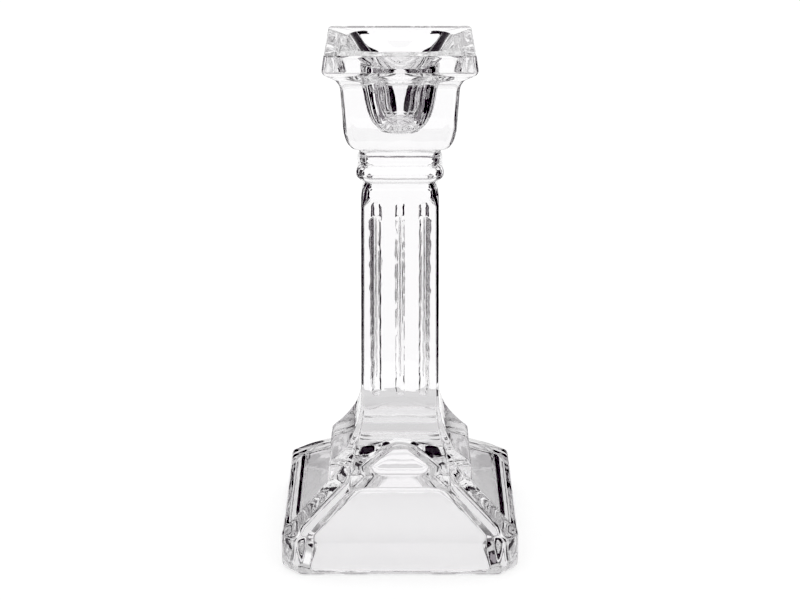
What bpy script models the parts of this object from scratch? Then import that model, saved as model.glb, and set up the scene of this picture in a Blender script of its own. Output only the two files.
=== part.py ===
"""Pressed-glass candlestick for one taper candle, in metres, +Z up.

The origin is the centre of the flat rim that it stands on. The candlestick is square in plan and
the same on all four sides. Its five zones are stacked up the Z axis: the hollow foot, the fluted
column, the collar, the candle cup and the drip pan.
"""

import bmesh
import bpy
import numpy as np

MM = 0.001
GAP = 0.3 * MM

# Foot: an upright plinth, a hipped skirt, then a tier with a lip on each face and notched corners.
FOOT_HALF = 35.3 * MM
FOOT_CORNER = 5.4 * MM
PLINTH_HEIGHT = 11.4 * MM
EDGE_ROUND = 1.2 * MM
EDGE_TURN = 60.0
EDGE_STEPS = 2
TIER_HALF = 21.5 * MM
TIER_FACE_HALF = 15.0 * MM
TIER_BOTTOM = 21.2 * MM
TIER_LIP_TOP = 26.0 * MM
LIP_EDGE_HALF = 20.6 * MM
LIP_EDGE_Z = 27.9 * MM
NOTCH_TOP = 31.0 * MM
NOTCH_INSET = 0.5 * MM
# The flare is a cubic Bezier curve from the lip's edge up to the column, leaning on these two points.
FLARE_LOW_HALF = 15.3 * MM
FLARE_LOW_Z = 31.8 * MM
FLARE_HIGH_HALF = 12.6 * MM
FLARE_HIGH_Z = 37.0 * MM
FLARE_TOP = 45.0 * MM
FLARE_STEPS = 7

# The foot's hollow, open below: upright walls, then a hipped roof with a rounded top.
HOLLOW_HALF = 30.0 * MM
HOLLOW_CORNER = 4.0 * MM
HOLLOW_WALL_TOP = 7.6 * MM
HOLLOW_DRAFT = 1.0 * MM
HOLLOW_TOP = 27.0 * MM
HOLLOW_CROWN_HALF = 4.0 * MM
HOLLOW_TOP_HALF = 2.0 * MM
HOLLOW_CROWN_CORNER = 0.5 * MM
HOLLOW_ROOF_SHARES = (0.12, 0.92)
HOLLOW_CORNER_TAPER = 0.6

# Column: square, a little slimmer at the top, with three round-ended flutes in each face.
COLUMN_BOTTOM = 46.0 * MM
COLUMN_BOTTOM_HALF = 11.65 * MM
COLUMN_TOP_HALF = 11.3 * MM
COLUMN_CORNER = 0.9 * MM
# How far the corner's inner point stands out, at least and at most, where the tier meets the column.
INNER_CORNER_LEAST = 0.45 * MM
INNER_CORNER_MOST = 0.6 * MM
SHOULDER_BOTTOM = 108.0 * MM
SHOULDER_WIDE_Z = 110.0 * MM
SHOULDER_WIDE_HALF = 11.2 * MM
SHOULDER_BEND_Z = 111.7 * MM
SHOULDER_BEND_HALF = 10.9 * MM
SHOULDER_TOP = 113.2 * MM
SHOULDER_TOP_HALF = 10.4 * MM
SHOULDER_CORNER = 2.3 * MM
FLUTE_RADIUS = 1.45 * MM
FLUTE_DEPTH = 0.85 * MM
FLUTE_SPACING = 7.0 * MM
FLUTE_BOTTOM = 49.5 * MM
FLUTE_TOP = 102.4 * MM
FLUTE_SIDES = 12
FLUTE_END_TURNS = (0.0, 45.0, 80.0)

# Collar: a short neck over one round ring.
COLLAR_CORNER = 2.6 * MM
NECK_HALF = 11.7 * MM
NECK_TOP_HALF = 12.1 * MM
NECK_BOTTOM = 120.2 * MM
NECK_FLARE_Z = 123.0 * MM
RING_HALF = 12.7 * MM
RING_CENTRE = 116.6 * MM
RING_RADIUS = 3.0 * MM
RING_TURN = 62.0
RING_STEPS = 6

# Candle cup: a square bowl with a round socket in it. The socket tapers, rounds in as a superellipse
# of this depth and power, and ends in a flat floor.
CUP_BOTTOM = 124.2 * MM
CUP_FOOT_HALF = 12.5 * MM
CUP_HALF = 16.3 * MM
CUP_TOP_HALF = 17.0 * MM
CUP_CURVE_TOP = 133.0 * MM
CUP_TOP = 144.8 * MM
CUP_CORNER = 2.6 * MM
CUP_CURVE_STEPS = 5
MOUTH_RADIUS = 11.4 * MM
SOCKET_BOTTOM = 128.6 * MM
SOCKET_TAPER = 0.1
SOCKET_CURVE_DEPTH = 19.6 * MM
SOCKET_POWER = 4.0
SOCKET_STEPS = 8
# The steps crowd towards the floor, where the wall curves most.
SOCKET_STEP_POWER = 0.5

# Drip pan: a thick square plate whose edge leans in upwards, with a flat rim and a steep funnel that
# is a rounded square at the rim and a circle at the socket.
PAN_HALF = 21.9 * MM
PAN_EDGE_HALF = 21.2 * MM
PAN_CORNER = 1.6 * MM
PAN_FOOT_HALF = 17.2 * MM
PAN_UNDERSIDE_Z = 147.8 * MM
PAN_UNDERSIDE_HALF = 21.4 * MM
PAN_EDGE_BOTTOM = 148.4 * MM
PAN_TOP = 153.4 * MM
PAN_EDGE_ROUND = 0.7 * MM
PAN_EDGE_TURN = 90.0
FUNNEL_HALF = 15.5 * MM
FUNNEL_BOTTOM = 147.8 * MM
FUNNEL_SHARES = (0.35, 0.7, 1.0)
# How square the funnel is at the rim, from 0 for a circle to 1 for a sharp square.
FUNNEL_SQUARENESS = 0.4

CORNER_STEPS = 3
CUT_STEPS = 3
ROUND_SIDES = 48
# How far a cutter stands past the face that it opens.
CUTTER_REACH = 2.0 * MM

GLASS_COLOUR = (0.93, 0.94, 0.95, 1.0)
GLASS_ROUGHNESS = 0.03
GLASS_IOR = 1.5
GLASS_ALPHA = 0.35


def clear_scene():
    """Remove every object from the scene."""
    for obj in list(bpy.data.objects):
        bpy.data.objects.remove(obj, do_unlink=True)


def glass(name):
    """A clear glass material."""
    material = bpy.data.materials.new(name)
    material.use_nodes = True
    shader = material.node_tree.nodes["Principled BSDF"]
    shader.inputs["Base Color"].default_value = GLASS_COLOUR
    shader.inputs["Metallic"].default_value = 0.0
    shader.inputs["Roughness"].default_value = GLASS_ROUGHNESS
    shader.inputs["IOR"].default_value = GLASS_IOR
    shader.inputs["Transmission Weight"].default_value = 1.0
    shader.inputs["Alpha"].default_value = GLASS_ALPHA
    return material


def four_corners(corner):
    """Repeat the points of the (+X, +Y) corner round the other three, turning 90 degrees each time."""
    turned = [corner]
    for _ in range(3):
        last = turned[-1]
        turned.append(np.column_stack([-last[:, 1], last[:, 0]]))
    return np.concatenate(turned)


def rounded_square(half, radius):
    """A square outline whose corners are quarter circles of the radius."""
    angles = np.linspace(0.0, np.pi / 2, CORNER_STEPS + 1)
    centre = half - radius
    corner = np.column_stack([centre + radius * np.cos(angles), centre + radius * np.sin(angles)])
    return four_corners(corner)


def cut_square(half, cut):
    """A square outline whose corners are cut off straight, with two more points along each cut."""
    steps = np.linspace(0.0, 1.0, CUT_STEPS + 1)
    corner = np.column_stack([half - cut * steps, half - cut + cut * steps])
    return four_corners(corner)


def notched_square(half, face_half, notch):
    """A cross-shaped outline: faces of face_half at half from the centre, and corners cut in to notch."""
    corner = np.array(
        [
            [half, face_half],
            [notch, face_half],
            [face_half, notch],
            [face_half, half],
        ]
    )
    return four_corners(corner)


def round_outline(radius):
    """A circle of ROUND_SIDES points, one of them at each 45 degree corner."""
    angles = np.arange(ROUND_SIDES) * 2 * np.pi / ROUND_SIDES
    return radius * np.column_stack([np.cos(angles), np.sin(angles)])


def square_to_round(half, radius, share):
    """A square outline at share 0 and a circle at share 1, with ROUND_SIDES points by angle."""
    circle = round_outline(1.0)
    square = circle / np.abs(circle).max(axis=1, keepdims=True)
    return (1 - share) * half * square + share * radius * circle


def loft(name, sections):
    """A closed solid through (z, outline) sections from bottom to top, capped flat at both ends."""
    mesh = bmesh.new()
    rings = []
    for z, outline in sections:
        rings.append([mesh.verts.new((x, y, z)) for x, y in outline])
    for lower, upper in zip(rings, rings[1:]):
        for i in range(len(lower)):
            j = (i + 1) % len(lower)
            mesh.faces.new((lower[i], lower[j], upper[j], upper[i]))
    mesh.faces.new(reversed(rings[0]))
    mesh.faces.new(rings[-1])
    data = bpy.data.meshes.new(name)
    mesh.to_mesh(data)
    mesh.free()
    obj = bpy.data.objects.new(name, data)
    bpy.context.scene.collection.objects.link(obj)
    return obj


def cutter(name, sections):
    """A loft that only cuts other solids."""
    obj = loft(name, sections)
    obj.hide_render = True
    obj.display_type = "WIRE"
    return obj


def cut(obj, tool):
    """Take the tool's volume out of the object."""
    modifier = obj.modifiers.new("cut_" + tool.name, "BOOLEAN")
    modifier.operation = "DIFFERENCE"
    modifier.solver = "EXACT"
    modifier.object = tool


def arc(centre, radius, start, end, steps):
    """Points (half width, z) on a circle from the start angle to the end angle, in degrees."""
    angles = np.radians(np.linspace(start, end, steps + 1))
    return [(centre[0] + radius * np.cos(a), centre[1] + radius * np.sin(a)) for a in angles]


def bezier(start, lean_low, lean_high, end, steps):
    """Points of a cubic Bezier curve, without its first one."""
    t = np.linspace(0.0, 1.0, steps + 1)[1:, None]
    low = (1 - t) ** 3 * np.array(start) + 3 * t * (1 - t) ** 2 * np.array(lean_low)
    return low + 3 * t**2 * (1 - t) * np.array(lean_high) + t**3 * np.array(end)


def tier_outline(half, z):
    """The tier's cross outline at a height: its faces narrow towards the column, and its notches lean
    inwards until they meet the faces."""
    rise = (z - TIER_LIP_TOP) / (FLARE_TOP - TIER_LIP_TOP)
    narrow = (COLUMN_BOTTOM_HALF - COLUMN_CORNER - TIER_FACE_HALF) * max(rise, 0.0)
    face_half = min(TIER_FACE_HALF + narrow, half - COLUMN_CORNER)
    share = (z - TIER_BOTTOM) / (NOTCH_TOP - TIER_BOTTOM)
    lean = (TIER_HALF - NOTCH_INSET) * (1 - share) + TIER_FACE_HALF * share
    notch = max(lean, face_half + INNER_CORNER_LEAST)
    highest = half - COLUMN_CORNER + INNER_CORNER_MOST
    return notched_square(half, face_half, min(notch, highest))


def hollow_foot():
    """Plinth, hipped skirt and notched tier, hollow underneath, up to the column's seat."""
    shoulder_centre = (FOOT_HALF - EDGE_ROUND, PLINTH_HEIGHT - EDGE_ROUND)
    sections = [(0.0, cut_square(FOOT_HALF - EDGE_ROUND / 2, FOOT_CORNER))]
    sections.append((EDGE_ROUND / 2, cut_square(FOOT_HALF, FOOT_CORNER)))
    for half, z in arc(shoulder_centre, EDGE_ROUND, 0.0, EDGE_TURN, EDGE_STEPS):
        sections.append((z, cut_square(half, FOOT_CORNER)))
    tier_cut = TIER_HALF - TIER_FACE_HALF
    sections.append((TIER_BOTTOM, cut_square(TIER_HALF, tier_cut)))
    tier_profile = [(TIER_HALF, TIER_BOTTOM + GAP), (TIER_HALF, TIER_LIP_TOP), (LIP_EDGE_HALF, LIP_EDGE_Z)]
    tier_profile += bezier(
        (LIP_EDGE_HALF, LIP_EDGE_Z),
        (FLARE_LOW_HALF, FLARE_LOW_Z),
        (FLARE_HIGH_HALF, FLARE_HIGH_Z),
        (COLUMN_BOTTOM_HALF, FLARE_TOP),
        FLARE_STEPS,
    ).tolist()
    for half, z in tier_profile:
        sections.append((z, tier_outline(half, z)))
    top_face = COLUMN_BOTTOM_HALF - COLUMN_CORNER
    top_notch = top_face + INNER_CORNER_MOST
    top = COLUMN_BOTTOM - GAP
    sections.append((top, notched_square(COLUMN_BOTTOM_HALF, top_face, top_notch)))
    foot = loft("hollow_foot", sections)

    hollow = [(-CUTTER_REACH, cut_square(HOLLOW_HALF, HOLLOW_CORNER))]
    hollow.append((HOLLOW_WALL_TOP, cut_square(HOLLOW_HALF - HOLLOW_DRAFT, HOLLOW_CORNER)))
    for share in HOLLOW_ROOF_SHARES:
        half = HOLLOW_HALF + (HOLLOW_CROWN_HALF - HOLLOW_HALF) * share
        z = HOLLOW_WALL_TOP + (HOLLOW_TOP - HOLLOW_WALL_TOP) * share
        hollow.append((z, cut_square(half, HOLLOW_CORNER * (1 - HOLLOW_CORNER_TAPER * share))))
    hollow.append((HOLLOW_TOP, cut_square(HOLLOW_TOP_HALF, HOLLOW_CROWN_CORNER)))
    cut(foot, cutter("foot_hollow_cutter", hollow))
    return foot


def flute_cutter(name, along_x, side, offset):
    """A round-ended rod along one column face, leaning with the face, sunk by FLUTE_DEPTH."""
    sections = []
    sink = FLUTE_RADIUS - FLUTE_DEPTH
    length = SHOULDER_BOTTOM - COLUMN_BOTTOM
    turns = np.radians(FLUTE_END_TURNS)
    for end_z, direction, end_turns in ((FLUTE_BOTTOM, -1.0, turns[::-1]), (FLUTE_TOP, 1.0, turns)):
        for turn in end_turns:
            z = end_z + direction * FLUTE_RADIUS * np.sin(turn)
            radius = FLUTE_RADIUS * np.cos(turn)
            rise = (z - COLUMN_BOTTOM) / length
            face = COLUMN_BOTTOM_HALF + (COLUMN_TOP_HALF - COLUMN_BOTTOM_HALF) * rise
            angles = np.arange(FLUTE_SIDES) * 2 * np.pi / FLUTE_SIDES
            across = offset + radius * np.cos(angles)
            out = side * (face + sink) + radius * np.sin(angles)
            outline = np.column_stack([across, out]) if along_x else np.column_stack([out, -across])
            sections.append((z, outline))
    return cutter(name, sections)


def fluted_column():
    """The square column, its shoulder under the collar, and three flutes in each face."""
    sections = [
        (COLUMN_BOTTOM, cut_square(COLUMN_BOTTOM_HALF, COLUMN_CORNER)),
        (SHOULDER_BOTTOM, cut_square(COLUMN_TOP_HALF, COLUMN_CORNER)),
        (SHOULDER_WIDE_Z, cut_square(SHOULDER_WIDE_HALF, SHOULDER_CORNER)),
        (SHOULDER_BEND_Z, cut_square(SHOULDER_BEND_HALF, SHOULDER_CORNER)),
        (SHOULDER_TOP - GAP, cut_square(SHOULDER_TOP_HALF, SHOULDER_CORNER)),
    ]
    column = loft("fluted_column", sections)
    for along_x in (True, False):
        for side in (-1, 1):
            for step in (-1, 0, 1):
                name = f"flute_cutter_{'y' if along_x else 'x'}{side}_{step}"
                cut(column, flute_cutter(name, along_x, side, step * FLUTE_SPACING))
    return column


def collar():
    """The ring and the neck between the column and the cup."""
    ring = arc((RING_HALF - RING_RADIUS, RING_CENTRE), RING_RADIUS, -RING_TURN, RING_TURN, RING_STEPS)
    sections = [(SHOULDER_TOP, cut_square(SHOULDER_TOP_HALF, COLLAR_CORNER))]
    for half, z in ring:
        sections.append((z, cut_square(half, COLLAR_CORNER)))
    sections.append((NECK_BOTTOM, cut_square(NECK_HALF, COLLAR_CORNER)))
    sections.append((NECK_FLARE_Z, cut_square(NECK_HALF, COLLAR_CORNER)))
    sections.append((CUP_BOTTOM - GAP, cut_square(NECK_TOP_HALF, COLLAR_CORNER)))
    return loft("collar", sections)


def socket_cutter():
    """The socket and, above it, the funnel that widens from the round mouth to a rounded square."""
    depths = (FUNNEL_BOTTOM - SOCKET_BOTTOM) * np.linspace(1.0, 0.0, SOCKET_STEPS) ** SOCKET_STEP_POWER
    taper = MOUTH_RADIUS - SOCKET_TAPER * depths
    radii = taper * (1 - (depths / SOCKET_CURVE_DEPTH) ** SOCKET_POWER) ** (1 / SOCKET_POWER)
    sections = [(FUNNEL_BOTTOM - depth, round_outline(radius)) for depth, radius in zip(depths, radii)]
    for share in FUNNEL_SHARES:
        half = MOUTH_RADIUS + (FUNNEL_HALF - MOUTH_RADIUS) * share
        z = FUNNEL_BOTTOM + (PAN_TOP - FUNNEL_BOTTOM) * share
        sections.append((z, square_to_round(half, half, 1 - FUNNEL_SQUARENESS * share)))
    rim = square_to_round(FUNNEL_HALF, FUNNEL_HALF, 1 - FUNNEL_SQUARENESS)
    sections.append((PAN_TOP + CUTTER_REACH, rim))
    return cutter("socket_cutter", sections)


def candle_cup(socket):
    """The square bowl that holds the candle."""
    sections = []
    for turn in np.linspace(0.0, np.pi / 2, CUP_CURVE_STEPS + 1):
        half = CUP_FOOT_HALF + (CUP_HALF - CUP_FOOT_HALF) * np.sin(turn)
        z = CUP_CURVE_TOP - (CUP_CURVE_TOP - CUP_BOTTOM) * np.cos(turn)
        sections.append((z, rounded_square(half, CUP_CORNER)))
    sections.append((CUP_TOP - GAP, rounded_square(CUP_TOP_HALF, CUP_CORNER)))
    cup = loft("candle_cup", sections)
    cut(cup, socket)
    return cup


def drip_pan(socket):
    """The square plate with a flared underside, round the funnel."""
    top_centre = (PAN_EDGE_HALF - PAN_EDGE_ROUND, PAN_TOP - PAN_EDGE_ROUND)
    sections = [(CUP_TOP, rounded_square(PAN_FOOT_HALF, PAN_CORNER))]
    sections.append((PAN_UNDERSIDE_Z, rounded_square(PAN_UNDERSIDE_HALF, PAN_CORNER)))
    sections.append((PAN_EDGE_BOTTOM, rounded_square(PAN_HALF, PAN_CORNER)))
    for half, z in arc(top_centre, PAN_EDGE_ROUND, 0.0, PAN_EDGE_TURN, EDGE_STEPS):
        sections.append((z, rounded_square(half, PAN_CORNER)))
    pan = loft("drip_pan", sections)
    cut(pan, socket)
    return pan


def build():
    """Make the five zones, each with its own glass."""
    clear_scene()
    socket = socket_cutter()
    for obj in (hollow_foot(), fluted_column(), collar(), candle_cup(socket), drip_pan(socket)):
        obj.data.materials.append(glass(obj.name + "_glass"))


build()
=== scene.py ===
"""The looks of the pressed-glass candlestick: one closed skin of clear glass on a pale floor.

The skin is one surface worked out on a grid. Across the grid runs a plan outline with four like
corners, along it run the stations of the glass: from the crown of the hollow foot down its walls,
round the foot's rim, up the outside, over the drip pan's edge and down the socket to its floor.
"""

import bpy
import numpy as np
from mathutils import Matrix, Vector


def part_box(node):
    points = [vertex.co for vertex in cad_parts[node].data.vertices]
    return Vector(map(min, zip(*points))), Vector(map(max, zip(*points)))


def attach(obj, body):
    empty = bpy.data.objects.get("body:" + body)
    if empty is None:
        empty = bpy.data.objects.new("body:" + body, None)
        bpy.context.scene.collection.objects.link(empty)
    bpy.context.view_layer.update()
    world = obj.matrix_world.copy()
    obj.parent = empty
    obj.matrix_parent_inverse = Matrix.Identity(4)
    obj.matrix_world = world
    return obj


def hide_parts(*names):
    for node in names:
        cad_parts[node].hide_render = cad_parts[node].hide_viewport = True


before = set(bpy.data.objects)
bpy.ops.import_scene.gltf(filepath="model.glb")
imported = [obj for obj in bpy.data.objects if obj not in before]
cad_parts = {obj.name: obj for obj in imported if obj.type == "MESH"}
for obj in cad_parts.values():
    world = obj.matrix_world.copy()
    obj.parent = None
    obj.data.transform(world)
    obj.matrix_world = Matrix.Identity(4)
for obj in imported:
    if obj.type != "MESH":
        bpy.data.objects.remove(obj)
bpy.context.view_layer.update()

MM = 0.001

# Heights and half widths that the CAD zones give, in millimetres.
FOOT_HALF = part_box("hollow_foot")[1].x / MM
COLUMN_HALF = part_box("fluted_column")[1].x / MM
COLUMN_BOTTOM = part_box("fluted_column")[0].z / MM
COLLAR_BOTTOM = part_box("collar")[0].z / MM
RING_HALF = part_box("collar")[1].x / MM
CUP_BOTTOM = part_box("candle_cup")[0].z / MM
CUP_TOP_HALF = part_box("candle_cup")[1].x / MM
PAN_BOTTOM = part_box("drip_pan")[0].z / MM
PAN_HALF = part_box("drip_pan")[1].x / MM
PAN_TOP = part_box("drip_pan")[1].z / MM

# Foot
FOOT_CUT = 5.4
RIM_EDGE = 1.0
PLINTH_TOP = 11.4
SKIRT_TOP = 21.2
TIER_HALF = 21.5
TIER_FACE = 15.0
LIP_TOP = 26.0
FLARE_TOP = 45.0
# The flare's profile, as (half width, height): where it starts at the lip, and the two points that its
# Bezier curve leans on.
FLARE_LIP = (20.6, 27.9)
FLARE_LEANS = ((15.3, 31.8), (12.6, 37.0))
# The tier's faces keep this half width up to this height, then narrow to the column's.
TIER_FACE_TOP = 13.9
TIER_NARROW_Z = 31.5
# The notches' floors lean inwards from this height, by so many millimetres for each one of rise.
NOTCH_LEAN_Z = 22.0
NOTCH_LEAN = 0.867
HOLLOW_HALF = 30.0
HOLLOW_TOP = 27.0
HOLLOW_CROWN_HALF = 5.0
HOLLOW_CROWN_DEPTH = 0.9
# Where the hollow's roof meets its walls, as (height, half width).
HOLLOW_EAVES = (8.4, 28.4)

# Column
SHAFT_TOP = 108.0
SHAFT_TOP_HALF = 11.3
SHAFT_CUT = 0.9
SHAFT_SOFT = 0.3
SHOULDER_CUT = 2.3
SHOULDER_SOFT = 1.1
FLUTE_SPACING = 7.0
FLUTE_HALF = 1.4
# Each face's flutes: the middle one is the shallowest.
FLUTE_DEPTHS = (1.0, 0.66, 1.0)
FLUTE_POWER = 0.8
FLUTE_BOTTOM = 49.5
FLUTE_TOP = 102.4
FLUTE_TOP_END = 1.9
# How a flute's middle line wanders, in millimetres, and how its width swells, as a share: rows of a sine
# wave's size, its radians for each millimetre of height, and its shift from one flute to the next.
FLUTE_WANDER = ((0.06, 0.9, 2.1), (0.05, 2.3, 1.3))
FLUTE_SWELL = ((0.035, 1.7, 1.0), (0.03, 3.1, 2.0))

# Collar
RING_CENTRE = 116.6
RING_RADIUS = 2.7
RING_TURN = 62.0
RING_CUT = 2.6
NECK_BOTTOM = 119.9
NECK_HALF = 11.7
NECK_CUT = 2.5
NECK_SOFT = 1.2

# Cup, socket and pan
CUP_FOOT_HALF = 12.6
CUP_HALF = 16.3
CUP_CURVE_TOP = 133.0
CUP_CORNER = 2.6
PAN_CORNER = 1.6
PAN_RIM_CORNER = 1.4
PAN_RIM_EDGE = 1.0
PAN_EDGE_HALF = 21.2
MOUTH_RADIUS = 11.4
SOCKET_BOTTOM = 128.6
SOCKET_TAPER = 0.1
SOCKET_CURVE_DEPTH = 19.6
FUNNEL_HALF = 15.5
FUNNEL_BOTTOM = 147.8
FUNNEL_ROUNDNESS = 0.56
FUNNEL_CORNER = 1.2


# --- plan outlines -----------------------------------------------------------------------------
# A station is one row: height, half width, face half width, the corner's inner point (across,
# along), the two softening lengths of the corner, and how round the outline is (0 to 1).

def cut_station(z, half, cut, soft=0.4):
    """A square whose corners are cut off straight by cut, with the two edges softened."""
    face = half - cut
    return [z, half, face, half - cut * 0.35, face + cut * 0.35, soft, min(soft, cut * 0.2), 0.0]


def round_cornered_station(z, half, radius, roundness=0.0):
    """A square with corners rounded to the radius: an eighth turn at each end of a short cut."""
    cut = radius * 0.586
    face = half - cut
    soft = cut * 0.707
    return [z, half, face, half - cut * 0.4, face + cut * 0.4, soft, cut * 0.1, roundness]


def notched_station(z, half, face, notch, soft=0.5):
    """A cross: faces of half width face, and corners stepped in to (notch, face)."""
    return [z, half, face, notch, face, soft, soft, 0.0]


def circle_station(z, radius):
    """A circle of the radius."""
    return round_cornered_station(z, radius, radius * 0.9, 1.0)


# Points along half a face, as shares of it. They crowd at the flutes' edges.
FACE_SHARES = np.array([
    0.0, 0.06, 0.1, 0.124, 0.14, 0.2, 0.32, 0.44, 0.528, 0.545, 0.565, 0.605, 0.67, 0.735, 0.775,
    0.795, 0.812, 0.87, 0.94, 1.0,
])
BEND_SHARES = np.linspace(0.0, 1.0, 6)[1:]


def bezier(before, corner, after, shares):
    """Points of the quadratic curve from before to after that leans on corner."""
    s = shares[None, :, None]
    return (1 - s) ** 2 * before[:, None] + 2 * s * (1 - s) * corner[:, None] + s ** 2 * after[:, None]


def unit(vectors):
    """The vectors brought to length 1."""
    return vectors / np.maximum(np.linalg.norm(vectors, axis=1, keepdims=True), 1e-9)


def outline(rows):
    """Plan outlines, one for each row: an eighth is laid out, mirrored on the diagonal, and turned
    three times. A round outline's points keep their directions and move out to the superellipse
    |x|^p + |y|^p = half^p, where p is 2 / roundness. Returns an array of rows x points x 2."""
    half, face, across, along, soft1, soft2, roundness = rows.T[1:]
    corner1 = np.column_stack([half, face])
    corner2 = np.column_stack([across, along])
    middle = np.column_stack([(across + along) / 2, (across + along) / 2])
    out = unit(corner2 - corner1)
    inward = unit(middle - corner2)
    start = corner1 - np.column_stack([np.zeros_like(soft1), soft1])
    centre = start * np.array([1.0, 0.0])
    faces = centre[:, None] + (start - centre)[:, None] * FACE_SHARES[None, :, None]
    bend1_end = corner1 + out * soft1[:, None]
    bend1 = bezier(start, corner1, bend1_end, BEND_SHARES)
    bend2_start = corner2 - out * soft2[:, None]
    bend2_end = corner2 + inward * soft2[:, None]
    two_steps = np.array([0.5, 1.0])[None, :, None]
    between = bend1_end[:, None] + (bend2_start - bend1_end)[:, None] * two_steps
    bend2 = bezier(bend2_start, corner2, bend2_end, BEND_SHARES)
    last = bend2_end[:, None] + (middle - bend2_end)[:, None] * two_steps
    eighth = np.concatenate([faces, bend1, between, bend2, last], axis=1)
    mirrored = eighth[:, ::-1, ::-1][:, 1:-1]
    quarter = np.concatenate([eighth, mirrored], axis=1)
    turns = [quarter]
    for _ in range(3):
        last_turn = turns[-1]
        turns.append(np.stack([-last_turn[..., 1], last_turn[..., 0]], axis=-1))
    square = np.concatenate(turns, axis=1)
    power = 2.0 / np.maximum(roundness, 0.02)[:, None, None]
    direction = square / np.linalg.norm(square, axis=2, keepdims=True)
    reach = (np.abs(direction) ** power).sum(axis=2, keepdims=True) ** (-1 / power)
    round_plan = direction * reach * half[:, None, None]
    return np.where(roundness[:, None, None] > 0, round_plan, square)


# --- stations along the glass ------------------------------------------------------------------

def soften(stations, lengths, steps=6):
    """Round the profile at each inner station: a quadratic curve that starts and ends at the given
    length from it. A length of 0 leaves the station as it is."""
    rows = [np.array(stations[0], float)[None]]
    for before, here, after, length in zip(stations, stations[1:], stations[2:], lengths):
        before, here, after = (np.array(row, float) for row in (before, here, after))
        if length == 0:
            rows.append(here[None])
            continue
        back = np.hypot(*(here - before)[:2])
        ahead = np.hypot(*(after - here)[:2])
        start = here + (before - here) * min(0.49, length / back)
        end = here + (after - here) * min(0.49, length / ahead)
        s = np.linspace(0.0, 1.0, steps + 1)[:, None]
        rows.append((1 - s) ** 2 * start + 2 * s * (1 - s) * here + s ** 2 * end)
    rows.append(np.array(stations[-1], float)[None])
    return np.concatenate(rows)


def run(first, last, count, ease=lambda s: s):
    """Stations between two, without the first, spaced by ease."""
    s = ease(np.linspace(0.0, 1.0, count + 1)[1:])[:, None]
    return np.array(first, float) * (1 - s) + np.array(last, float) * s


def hollow_stations():
    """From the crown of the foot's hollow, down the hipped roof and the walls, to the foot's rim. The
    crown sinks by HOLLOW_CROWN_DEPTH times the square of the share of its half width."""
    crown = []
    for share in np.linspace(0.02, 1.0, 10):
        half = HOLLOW_CROWN_HALF * share
        z = HOLLOW_TOP - HOLLOW_CROWN_DEPTH * (share ** 2)
        crown.append(round_cornered_station(z, half, half * 0.8))
    roof_end = cut_station(*HOLLOW_EAVES, cut=3.6, soft=1.2)
    wall_end = cut_station(1.2, HOLLOW_HALF, cut=4.0, soft=1.2)
    rim = cut_station(0.0, HOLLOW_HALF + RIM_EDGE, cut=4.2, soft=1.0)
    rim_outer = cut_station(0.0, FOOT_HALF - RIM_EDGE, cut=FOOT_CUT - 0.4, soft=0.8)
    path = crown + list(run(crown[-1], roof_end, 8)) + [wall_end, rim, rim_outer]
    return soften(path, [0] * (len(path) - 4) + [2.0, 0.7])


def foot_stations():
    """Plinth, hipped skirt and lip, up to the start of the flare."""
    skirt_top = cut_station(SKIRT_TOP, TIER_HALF + 0.5, cut=TIER_HALF - TIER_FACE + 0.2, soft=0.8)
    stations = [
        cut_station(0.0, FOOT_HALF - RIM_EDGE, cut=FOOT_CUT - 0.4, soft=0.8),
        cut_station(0.9, FOOT_HALF, FOOT_CUT, soft=1.0),
        cut_station(PLINTH_TOP, FOOT_HALF, FOOT_CUT, soft=1.0),
        skirt_top,
    ]
    rows = [soften(stations, [0.7, 1.3], steps=8)]
    lip = [
        skirt_top,
        notched_station(SKIRT_TOP + 0.8, TIER_HALF, TIER_FACE, notch=TIER_HALF - 0.8, soft=0.6),
        notched_station(LIP_TOP + 0.6, TIER_HALF, TIER_FACE, notch=TIER_HALF - 4.4, soft=0.6),
        notched_station(FLARE_LIP[1], FLARE_LIP[0], TIER_FACE_TOP, notch=TIER_HALF - 5.8, soft=0.6),
    ]
    rows.append(soften(lip, [0.5, 0.8], steps=7)[1:])
    return rows


def flare_stations():
    """The concave sweep of the tier's four faces up to the column, with the corners notched in. Its
    profile is one cubic Bezier curve, upright at the column."""
    t = np.linspace(0.0, 1.0, 28)[1:]
    points = np.array([FLARE_LIP, *FLARE_LEANS, (COLUMN_HALF, FLARE_TOP)])
    weights = np.stack([(1 - t) ** 3, 3 * t * (1 - t) ** 2, 3 * t ** 2 * (1 - t), t ** 3], axis=1)
    half, z = (weights @ points).T
    rise = np.clip((z - TIER_NARROW_Z) / (FLARE_TOP - TIER_NARROW_Z), 0.0, 1.0)
    face = TIER_FACE_TOP + (COLUMN_HALF - SHAFT_CUT - TIER_FACE_TOP) * (1 - (1 - rise) ** 2)
    face = np.minimum(face, half - SHAFT_CUT)
    notch = np.maximum(face + SHAFT_CUT * 0.65, TIER_HALF - NOTCH_LEAN * (z - NOTCH_LEAN_Z))
    notch = np.minimum(notch, half - SHAFT_CUT * 0.35)
    along = face + SHAFT_CUT * 0.35 * rise
    soft = 0.25 + 0.25 * (1 - rise)
    return np.column_stack([z, half, face, notch, along, soft, soft * 0.6, np.zeros_like(z)])


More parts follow.
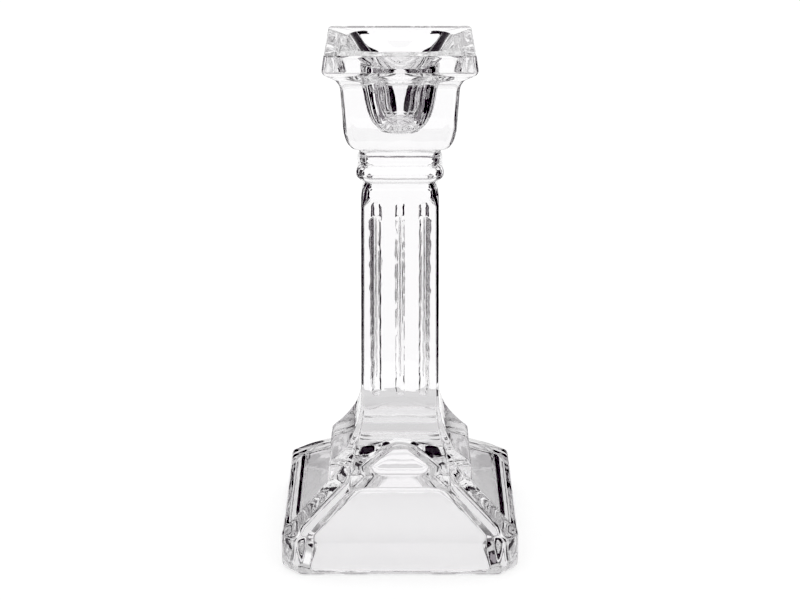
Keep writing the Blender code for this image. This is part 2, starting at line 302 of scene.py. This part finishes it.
def column_stations():
    """The fluted shaft and its shoulder. The stations crowd at the flutes' round ends."""
    z_bottom = FLUTE_BOTTOM + FLUTE_HALF * np.linspace(-1.2, 0.6, 13)
    z_middle = np.linspace(FLUTE_BOTTOM + 1.5, FLUTE_TOP - 1.0, 58)
    z_top = FLUTE_TOP + FLUTE_TOP_END * np.linspace(-0.1, 1.1, 14)
    heights = np.concatenate([z_bottom, z_middle, z_top])
    share = (heights - FLARE_TOP) / (SHAFT_TOP - FLARE_TOP)
    halves = COLUMN_HALF + (SHAFT_TOP_HALF - COLUMN_HALF) * share
    shaft = np.array([cut_station(z, half, SHAFT_CUT, SHAFT_SOFT) for z, half in zip(heights, halves)])
    shoulder = [
        cut_station(SHAFT_TOP - 1.0, SHAFT_TOP_HALF, SHAFT_CUT, SHAFT_SOFT),
        cut_station(SHAFT_TOP + 1.4, SHAFT_TOP_HALF, SHOULDER_CUT, SHOULDER_SOFT),
        cut_station(COLLAR_BOTTOM - 1.6, SHAFT_TOP_HALF - 0.35, SHOULDER_CUT, SHOULDER_SOFT),
        cut_station(COLLAR_BOTTOM, SHAFT_TOP_HALF - 1.2, SHOULDER_CUT, SHOULDER_SOFT),
    ]
    return [shaft, soften([shaft[-1]] + shoulder, [0.3, 0.35, 0.35], steps=6)[1:]]


def collar_stations():
    """The ring, whose profile is an arc of RING_TURN degrees each way, and the neck above it."""
    turn = np.radians(np.linspace(-RING_TURN, RING_TURN, 16))
    ring_z = RING_CENTRE + RING_RADIUS * np.sin(turn)
    ring_half = RING_HALF - RING_RADIUS + RING_RADIUS * np.cos(turn)
    ring = np.array([cut_station(z, half, RING_CUT, RING_CUT / 2) for z, half in zip(ring_z, ring_half)])
    neck = [
        ring[-1],
        cut_station(NECK_BOTTOM, NECK_HALF - 0.1, NECK_CUT, NECK_SOFT),
        cut_station(CUP_BOTTOM - 1.3, NECK_HALF, NECK_CUT, NECK_SOFT),
        cut_station(CUP_BOTTOM, NECK_HALF + 0.8, NECK_CUT, NECK_SOFT),
        round_cornered_station(CUP_BOTTOM + 0.6, NECK_HALF + 1.5, CUP_CORNER),
    ]
    return [ring, soften(neck, [0.7, 0.6, 0.2], steps=6)[1:]]


def cup_stations():
    """The square bowl, whose bottom is a quarter of an ellipse, then nearly upright walls that sweep out
    into the pan."""
    turn = np.linspace(0.15, 1.0, 20) * np.pi / 2
    half = CUP_FOOT_HALF + (CUP_HALF - CUP_FOOT_HALF) * np.sin(turn)
    z = CUP_CURVE_TOP - (CUP_CURVE_TOP - CUP_BOTTOM) * np.cos(turn)
    bowl = np.array([round_cornered_station(height, width, CUP_CORNER) for height, width in zip(z, half)])
    pan = [
        bowl[-1],
        round_cornered_station(PAN_BOTTOM - 0.2, CUP_TOP_HALF, radius=2.4),
        round_cornered_station(PAN_BOTTOM + 3.0, PAN_HALF - 0.5, PAN_CORNER),
        round_cornered_station(PAN_BOTTOM + 4.0, PAN_HALF, PAN_CORNER),
        round_cornered_station(PAN_TOP, PAN_EDGE_HALF, radius=1.5),
        round_cornered_station(PAN_TOP, PAN_EDGE_HALF - PAN_RIM_EDGE, PAN_RIM_CORNER),
    ]
    return [bowl, soften(pan, [2.8, 0.5, 0.5, 0.5], steps=8)[1:]]


def socket_stations():
    """Over the pan's edge, across the flat rim, down the square funnel and into the round socket. The
    funnel's outline is a superellipse that turns from a square into the mouth's circle. The socket's
    radius is (MOUTH_RADIUS - SOCKET_TAPER depth) (1 - (depth / SOCKET_CURVE_DEPTH)^4)^(1/4)."""
    s = np.linspace(0.0, 1.0, 20)
    half = FUNNEL_HALF + (MOUTH_RADIUS - FUNNEL_HALF) * s
    z = PAN_TOP - (PAN_TOP - FUNNEL_BOTTOM) * s
    funnel = [round_cornered_station(height, width, FUNNEL_CORNER) for height, width in zip(z, half)]
    funnel = np.array(funnel)
    funnel[:, 7] = FUNNEL_ROUNDNESS + (1 - FUNNEL_ROUNDNESS) * s ** 1.5
    depth = (FUNNEL_BOTTOM - SOCKET_BOTTOM) * np.sin(np.linspace(0.03, 1.0, 28) * np.pi / 2)
    taper = MOUTH_RADIUS - SOCKET_TAPER * depth
    radius = taper * (1 - (depth / SOCKET_CURVE_DEPTH) ** 4) ** 0.25
    wall = [circle_station(FUNNEL_BOTTOM - down, across) for down, across in zip(depth, radius)]
    floor = [circle_station(SOCKET_BOTTOM, across) for across in (4.0, 0.2)]
    rim = round_cornered_station(PAN_TOP, PAN_EDGE_HALF - PAN_RIM_EDGE, PAN_RIM_CORNER)
    inner_rim = round_cornered_station(PAN_TOP, FUNNEL_HALF + 2.0, FUNNEL_CORNER, FUNNEL_ROUNDNESS)
    path = [rim, inner_rim] + list(funnel) + wall + floor
    lengths = [0, 0.6] + [0] * (len(funnel) - 2) + [0.5] + [0] * (len(wall) - 1) + [0.8, 0]
    return soften(path, lengths, steps=7)[1:]


def all_stations():
    """Every station of the skin, from the hollow's crown to the socket's floor."""
    rows = [hollow_stations()]
    rows += foot_stations()
    rows.append(flare_stations())
    rows += column_stations()
    rows += collar_stations()
    rows += cup_stations()
    rows.append(socket_stations())
    return np.concatenate(rows)


# --- the skin ----------------------------------------------------------------------------------

def waver(rest, z, number, waves):
    """The rest value plus, for each wave, size sin(rate z + shift number)."""
    return sum((size * np.sin(rate * z + shift * number) for size, rate, shift in waves), rest)


def flute_depth(across, z):
    """Depth of the flutes at a place on a face: three round-ended grooves, with a longer run-out at
    the top. At distance d from a groove's middle line its depth is deepest (1 - (d / half)^2)^0.8.
    The groove's half width and middle line wander a little along it, as hand-polished moulds do."""
    beyond = np.maximum(0.0, np.maximum((FLUTE_BOTTOM - z) / FLUTE_HALF, (z - FLUTE_TOP) / FLUTE_TOP_END))
    depth = np.zeros_like(across)
    for number, deepest in enumerate(FLUTE_DEPTHS):
        middle = (number - 1) * FLUTE_SPACING
        wander = waver(0.0, z, number, FLUTE_WANDER)
        half = FLUTE_HALF * waver(1.0, z, number, FLUTE_SWELL)
        distance = np.hypot((across - middle - wander) / half, beyond)
        depth += deepest * np.maximum(0.0, 1 - distance ** 2) ** FLUTE_POWER
    return depth


# Rows of a crossed sine wave's size in millimetres, its radians for each millimetre along x, y and z,
# and its shift.
PRESS_WAVES = (
    (0.010, 0.55, 0.0, 0.83, 0.4),
    (0.008, 0.0, 0.91, -0.62, 1.7),
    (0.006, 1.31, 1.13, 0.37, 2.9),
    (0.005, 0.7, -0.9, 1.9, 0.0),
)


def press_waves(x, y, z):
    """The faint waves of fire-polished glass: the sum of size sin(rate . (x, y, z) + shift)."""
    return sum(
        size * np.sin(rate_x * x + rate_y * y + rate_z * z + shift)
        for size, rate_x, rate_y, rate_z, shift in PRESS_WAVES
    )


def glass_skin():
    """The whole candlestick as one closed grid of stations by outline points, with a pole at each
    end: the hollow's crown and the socket's floor."""
    rows = all_stations()
    plan = outline(rows)
    z = np.repeat(rows[:, 0:1], plan.shape[1], axis=1)
    x, y = plan[..., 0], plan[..., 1]
    on_shaft = ((rows[:, 0] > FLARE_TOP) & (rows[:, 0] < SHAFT_TOP))[:, None]
    facing_x = np.abs(x) > np.abs(y)
    depth = np.where(on_shaft, flute_depth(np.where(facing_x, y, x), z), 0.0)
    x = np.where(facing_x, x - np.sign(x) * depth, x)
    y = np.where(facing_x, y, y - np.sign(y) * depth)
    points = np.stack([x, y, z], axis=-1)
    normal = grid_normals(points)
    off_the_table = rows[:, 0:1] > 0.5
    waves = press_waves(x, y, z) * off_the_table
    points = points + normal * waves[..., None]
    poles = np.array([[0.0, 0.0, rows[0, 0]], [0.0, 0.0, rows[-1, 0]]])
    return closed_grid("glass_body", points * MM, poles * MM)


def grid_normals(points):
    """Unit normals of a grid that closes on itself across: along-step crossed with across-step."""
    across = np.roll(points, -1, axis=1) - np.roll(points, 1, axis=1)
    along = np.gradient(points, axis=0)
    normal = np.cross(across, along)
    return normal / np.maximum(np.linalg.norm(normal, axis=2, keepdims=True), 1e-12)


def closed_grid(name, points, poles):
    """A mesh of a grid that closes across, with a fan to a pole at each end."""
    stations, count = points.shape[:2]
    vertices = np.concatenate([points.reshape(-1, 3), poles])
    index = np.arange(stations * count).reshape(stations, count)
    ahead = np.roll(index, -1, axis=1)
    quads = np.stack([index[:-1], ahead[:-1], ahead[1:], index[1:]], axis=-1).reshape(-1, 4)
    first, last = stations * count, stations * count + 1
    start_fan = np.stack([ahead[0], index[0], np.full(count, first)], axis=-1)
    end_fan = np.stack([index[-1], ahead[-1], np.full(count, last)], axis=-1)
    mesh = bpy.data.meshes.new(name)
    mesh.from_pydata(vertices.tolist(), [], quads.tolist() + start_fan.tolist() + end_fan.tolist())
    mesh.validate()
    mesh.shade_smooth()
    obj = bpy.data.objects.new(name, mesh)
    bpy.context.scene.collection.objects.link(obj)
    return obj


# --- glass -------------------------------------------------------------------------------------

GLASS_CLEAR = (0.99, 0.986, 0.992, 1.0)
GLASS_DEEP = (0.972, 0.964, 0.974, 1.0)
GLASS_IOR = 1.51
# Waves: how many to the metre, and the height in metres that the bump gives them.
BROAD_WAVES = (95.0, 0.00006)
FINE_WAVES = (620.0, 0.000012)
ROUGHNESS_RANGE = (0.0, 0.012)
# The noise values between which the polish changes, and how many patches of tint and of polish there
# are to the metre.
POLISH_SPREAD = (0.45, 0.8)
TINT_PATCHES = 40.0
POLISH_PATCHES = 130.0


def noise(tree, where, scale, detail):
    """Soft noise of so many cells to the metre, in the object's own coordinates."""
    node = tree.nodes.new("ShaderNodeTexNoise")
    node.inputs["Scale"].default_value = scale
    node.inputs["Detail"].default_value = detail
    tree.links.new(where, node.inputs["Vector"])
    return node.outputs["Fac"]


def clear_glass():
    """Clear soda-lime glass. Its tint and polish change a little from place to place, and its surface
    keeps the broad and the fine waves of the mould."""
    material = bpy.data.materials.new("clear_pressed_glass")
    material.use_nodes = True
    tree = material.node_tree
    shader = tree.nodes["Principled BSDF"]
    where = tree.nodes.new("ShaderNodeTexCoord").outputs["Object"]
    tint = tree.nodes.new("ShaderNodeValToRGB")
    tint.color_ramp.elements[0].color = GLASS_DEEP
    tint.color_ramp.elements[1].color = GLASS_CLEAR
    tree.links.new(noise(tree, where, TINT_PATCHES, detail=2.0), tint.inputs["Fac"])
    tree.links.new(tint.outputs["Color"], shader.inputs["Base Color"])
    polish = tree.nodes.new("ShaderNodeMapRange")
    polish.inputs["From Min"].default_value = POLISH_SPREAD[0]
    polish.inputs["From Max"].default_value = POLISH_SPREAD[1]
    polish.inputs["To Min"].default_value = ROUGHNESS_RANGE[0]
    polish.inputs["To Max"].default_value = ROUGHNESS_RANGE[1]
    tree.links.new(noise(tree, where, POLISH_PATCHES, detail=3.0), polish.inputs["Value"])
    tree.links.new(polish.outputs["Result"], shader.inputs["Roughness"])
    normal = None
    for scale, height in (BROAD_WAVES, FINE_WAVES):
        bump = tree.nodes.new("ShaderNodeBump")
        bump.inputs["Strength"].default_value = 1.0
        bump.inputs["Distance"].default_value = height
        tree.links.new(noise(tree, where, scale, detail=1.0), bump.inputs["Height"])
        if normal is not None:
            tree.links.new(normal, bump.inputs["Normal"])
        normal = bump.outputs["Normal"]
    tree.links.new(normal, shader.inputs["Normal"])
    shader.inputs["IOR"].default_value = GLASS_IOR
    shader.inputs["Metallic"].default_value = 0.0
    shader.inputs["Transmission Weight"].default_value = 1.0
    return material


# --- stage -------------------------------------------------------------------------------------
# The glass stands in a bright field: a white floor and white light all round. Cards stand out of the
# camera's sight, and what the glass bends or mirrors towards them draws its dark lines.

# The view's black point, which deepens the glass's dark lines.
BLACK_LEVEL = (0.050, 0.055, 0.050)

FLOOR_HALF = 6.0
FLOOR_Z = -0.0002
FLOOR_SHADE = 0.6
FLOOR_GLOW = 0.62

CARD_BLACK = 0.006
CARD_GREY = 0.33
CARD_FRONT = 0.22
# The cards' paint is a little short of green, which leaves the dark lines faintly lavender.
CARD_GREEN = 0.93

# Openings between the cards, going round: compass direction in degrees from +Y towards +X, half
# width in metres near the object, half angle further off, then the shade of the card that follows and
# how near it comes to the axis.
OPENINGS = [
    (0.0, 0.045, 19.0, CARD_BLACK, 0.07),
    (92.0, 0.0, 0.0, CARD_GREY, 0.12),
    (135.0, 0.045, 8.0, CARD_FRONT, 0.12),
    (225.0, 0.0, 0.0, CARD_GREY, 0.12),
    (270.0, 0.030, 5.0, CARD_BLACK, 0.07),
    (315.0, 0.030, 5.0, CARD_BLACK, 0.07),
]

# A card's outline from the object outwards: flat on the floor, then curved up into a wall. Each row
# is the distance from the axis, the height, and the share of the openings' half angles that holds there.
CARD_PROFILE = [
    (0.12, 0.0004, 0.62), (0.15, 0.0004, 0.62), (0.2, 0.0004, 0.62), (0.26, 0.0004, 0.62),
    (0.36, 0.0004, 1.0), (0.54, 0.0004, 1.0), (0.6, 0.03, 1.0), (0.62, 0.1, 1.0), (0.62, 0.33, 1.0),
]
CARD_STEPS = 12
# A grey card lies close behind the foot, a painted shadow of the foot that only the glass sees:
# compass half angle, inner and outer distance, and shade. Its glow keeps it from reading as a black bar.
FOOT_SHADOW_CARD = (36.0, 0.045, 0.095, 0.2)
FOOT_SHADOW_GLOW = 0.6
FOOT_SHADOW_Z = -0.0001

# The light all round, by the sine of its elevation: white near the horizon, softer above it, and
# brighter again overhead.
SKY_STOPS = [(0.36, 1.0), (0.52, 0.6), (0.84, 0.6), (0.95, 0.95)]

# Glass bends light at every surface, so a path through it is followed for many turns.
GLASS_BOUNCES = 32
MIRROR_BOUNCES = 16

# The camera: its place in metres, how far it looks down in degrees, and its sensor and lens in
# millimetres.
CAMERA_PLACE = (0.0, -0.5336, 0.2653)
CAMERA_PITCH = 19.7
SENSOR_WIDTH = 36.0
FOCAL_LENGTH = 84.69


def plain_material(name, shade, glow=0.0, green=1.0):
    """A dull, even surface of a grey shade, with its green share."""
    material = bpy.data.materials.new(name)
    material.use_nodes = True
    shader = material.node_tree.nodes["Principled BSDF"]
    shader.inputs["Base Color"].default_value = (shade, shade * green, shade, 1.0)
    shader.inputs["Roughness"].default_value = 0.9
    shader.inputs["Specular IOR Level"].default_value = 0.0
    shader.inputs["Emission Color"].default_value = (1.0, 1.0, 1.0, 1.0)
    shader.inputs["Emission Strength"].default_value = glow
    return material


def stage_object(name, points, quads, material):
    """A stage mesh of quads."""
    mesh = bpy.data.meshes.new(name)
    mesh.from_pydata(points, [], quads)
    mesh.materials.append(material)
    obj = bpy.data.objects.new(name, mesh)
    bpy.context.scene.collection.objects.link(obj)
    return obj


def white_floor():
    """A wide white floor, a hair under the glass."""
    plan = ((-1, -1), (1, -1), (1, 1), (-1, 1))
    corners = [(x * FLOOR_HALF, y * FLOOR_HALF, FLOOR_Z) for x, y in plan]
    stage_object("floor", corners, [(0, 1, 2, 3)], plain_material("pale_floor", FLOOR_SHADE, FLOOR_GLOW))


def card(name, before, after):
    """A card from one opening to the next. Its edges keep an opening's half width as long as that is
    wider than the opening's half angle."""
    profile = np.array(CARD_PROFILE)
    profile[0, 0] = before[4]
    distance, height, spread = profile.T
    edges = []
    for (compass, half_width, half_angle, *_), side in ((before, 1.0), (after, -1.0)):
        turn = np.maximum(np.arcsin(np.minimum(1.0, half_width / distance)), np.radians(half_angle) * spread)
        edges.append(np.radians(compass) + side * turn)
    share = np.linspace(0.0, 1.0, CARD_STEPS + 1)
    turn = edges[0][:, None] * (1 - share) + edges[1][:, None] * share
    reach = distance[:, None]
    rise = np.repeat(height[:, None], len(share), axis=1)
    points = np.stack([reach * np.sin(turn), reach * np.cos(turn), rise], axis=-1)
    index = np.arange(points.shape[0] * points.shape[1]).reshape(points.shape[:2])
    quads = np.stack([index[:-1, :-1], index[1:, :-1], index[1:, 1:], index[:-1, 1:]], axis=-1)
    paint = plain_material(name, before[3], green=CARD_GREEN)
    hide_from_camera(stage_object(name, points.reshape(-1, 3).tolist(), quads.reshape(-1, 4).tolist(), paint))


def hide_from_camera(obj):
    """Let only the glass see a card."""
    obj.visible_camera = False
    obj.visible_diffuse = False
    obj.visible_shadow = False


def painted_foot_shadow():
    """The painted shadow of the foot on the floor: a grey card behind it that only the glass sees, a flat
    piece of a ring.
    """
    half_angle, inner, outer, shade = FOOT_SHADOW_CARD
    turn = np.radians(np.linspace(-half_angle, half_angle, 25))
    ring = np.column_stack([np.sin(turn), np.cos(turn), np.zeros_like(turn)])
    points = np.concatenate([ring * inner, ring * outer]) + np.array([0.0, 0.0, FOOT_SHADOW_Z])
    index = np.arange(2 * len(turn)).reshape(2, -1)
    quads = np.stack([index[0, :-1], index[1, :-1], index[1, 1:], index[0, 1:]], axis=-1)
    # Grey paint with a glow: the painted shadow of the foot on the floor behind it.
    paint = plain_material("painted_foot_shadow", shade, FOOT_SHADOW_GLOW)
    hide_from_camera(stage_object("painted_foot_shadow", points.tolist(), quads.tolist(), paint))


def cards():
    """The painted shadow of the foot, and a card from each opening to the next."""
    painted_foot_shadow()
    ahead = OPENINGS[1:] + [(360.0,) + OPENINGS[0][1:]]
    for number, (before, after) in enumerate(zip(OPENINGS, ahead)):
        card(f"card_{number}", before, after)


def studio_world():
    """White light all round, by the height of its direction."""
    world = bpy.data.worlds.new("studio")
    bpy.context.scene.world = world
    world.use_nodes = True
    tree = world.node_tree
    direction = tree.nodes.new("ShaderNodeTexCoord")
    split = tree.nodes.new("ShaderNodeSeparateXYZ")
    tree.links.new(direction.outputs["Generated"], split.inputs[0])
    ramp = tree.nodes.new("ShaderNodeValToRGB")
    stops = ramp.color_ramp.elements
    while len(stops) < len(SKY_STOPS):
        stops.new(0.5)
    for stop, (height, light) in zip(stops, SKY_STOPS):
        stop.position = height
        stop.color = (light, light, light, 1.0)
    tree.links.new(split.outputs["Z"], ramp.inputs["Fac"])
    background = tree.nodes["Background"]
    tree.links.new(ramp.outputs["Color"], background.inputs["Color"])
    background.inputs["Strength"].default_value = 1.0


def camera():
    """A long lens a little above the object, looking slightly down at its front."""
    data = bpy.data.cameras.new("camera")
    obj = bpy.data.objects.new("camera", data)
    bpy.context.scene.collection.objects.link(obj)
    obj.location = CAMERA_PLACE
    obj.rotation_euler = (np.radians(90 - CAMERA_PITCH), 0.0, 0.0)
    data.sensor_width = SENSOR_WIDTH
    data.lens = FOCAL_LENGTH
    data.clip_start = 0.01
    bpy.context.scene.camera = obj


def main():
    """Build the glass, hand it to the frame, and set the stage."""
    skin = glass_skin()
    skin.data.materials.append(clear_glass())
    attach(skin, "root")
    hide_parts("hollow_foot", "fluted_column", "collar", "candle_cup", "drip_pan")
    white_floor()
    cards()
    studio_world()
    camera()
    scene = bpy.context.scene
    view = scene.view_settings
    view.view_transform = "Standard"
    view.use_curve_mapping = True
    view.curve_mapping.black_level = BLACK_LEVEL
    view.curve_mapping.update()
    scene.cycles.max_bounces = GLASS_BOUNCES
    scene.cycles.transmission_bounces = GLASS_BOUNCES
    scene.cycles.glossy_bounces = MIRROR_BOUNCES
    scene.cycles.use_denoising = True


main()
